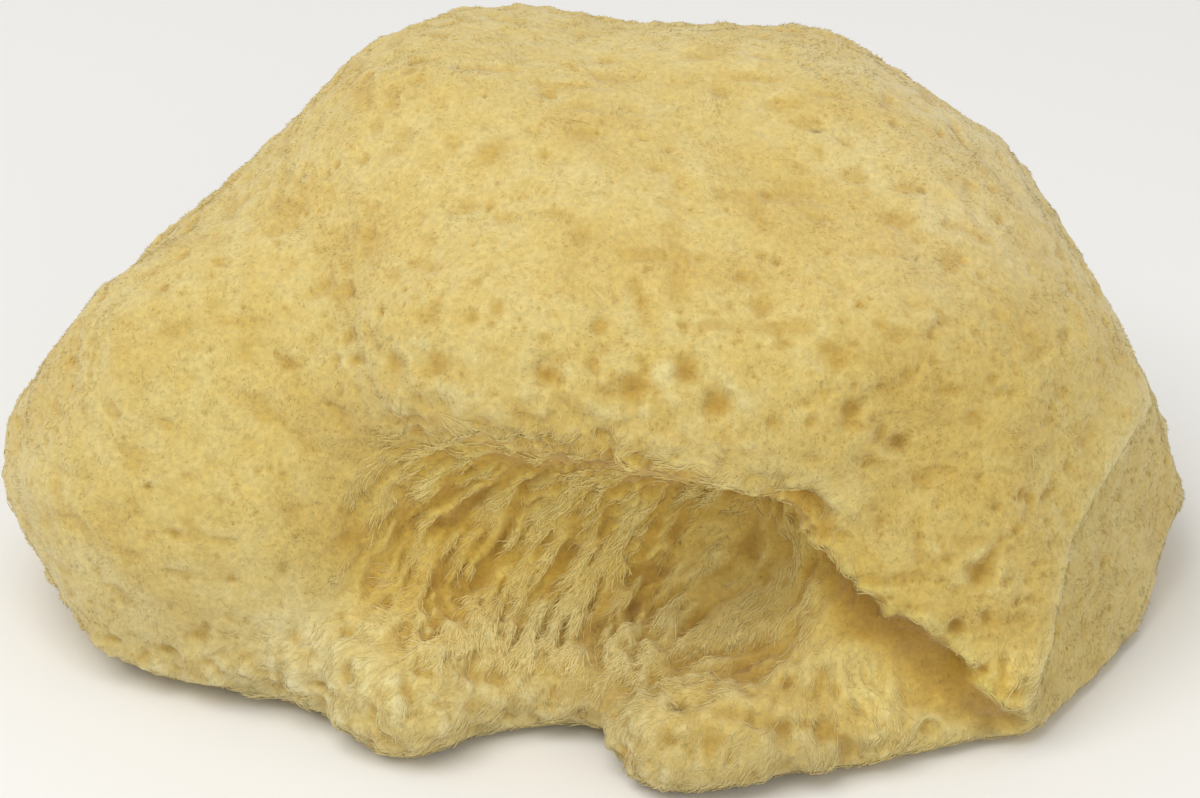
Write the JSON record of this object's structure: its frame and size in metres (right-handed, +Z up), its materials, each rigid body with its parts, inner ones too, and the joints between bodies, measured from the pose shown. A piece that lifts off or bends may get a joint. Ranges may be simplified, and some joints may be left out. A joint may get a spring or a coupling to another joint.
{
  "type": "sea sponge",
  "caption": "Natural sea sponge, dried: a soft rounded dome of fine yellow fibre with small pores, a shallow hollow and a lip at the front, and a flat cut base.",
  "frame": {"origin": "middle of the length and depth, at the height of the flat cut base", "axes": "+X along the length, to the right for someone who looks at the hollow; +Y to the back, away from the hollow; +Z up"},
  "size_m": [0.1502, 0.1026, 0.0716],
  "materials": {
    "sponge fibre": "matt, fine velvety fibre"
  },
  "bodies": {
    "root": {"sponge": "sponge fibre"}
  },
  "joints": []
}
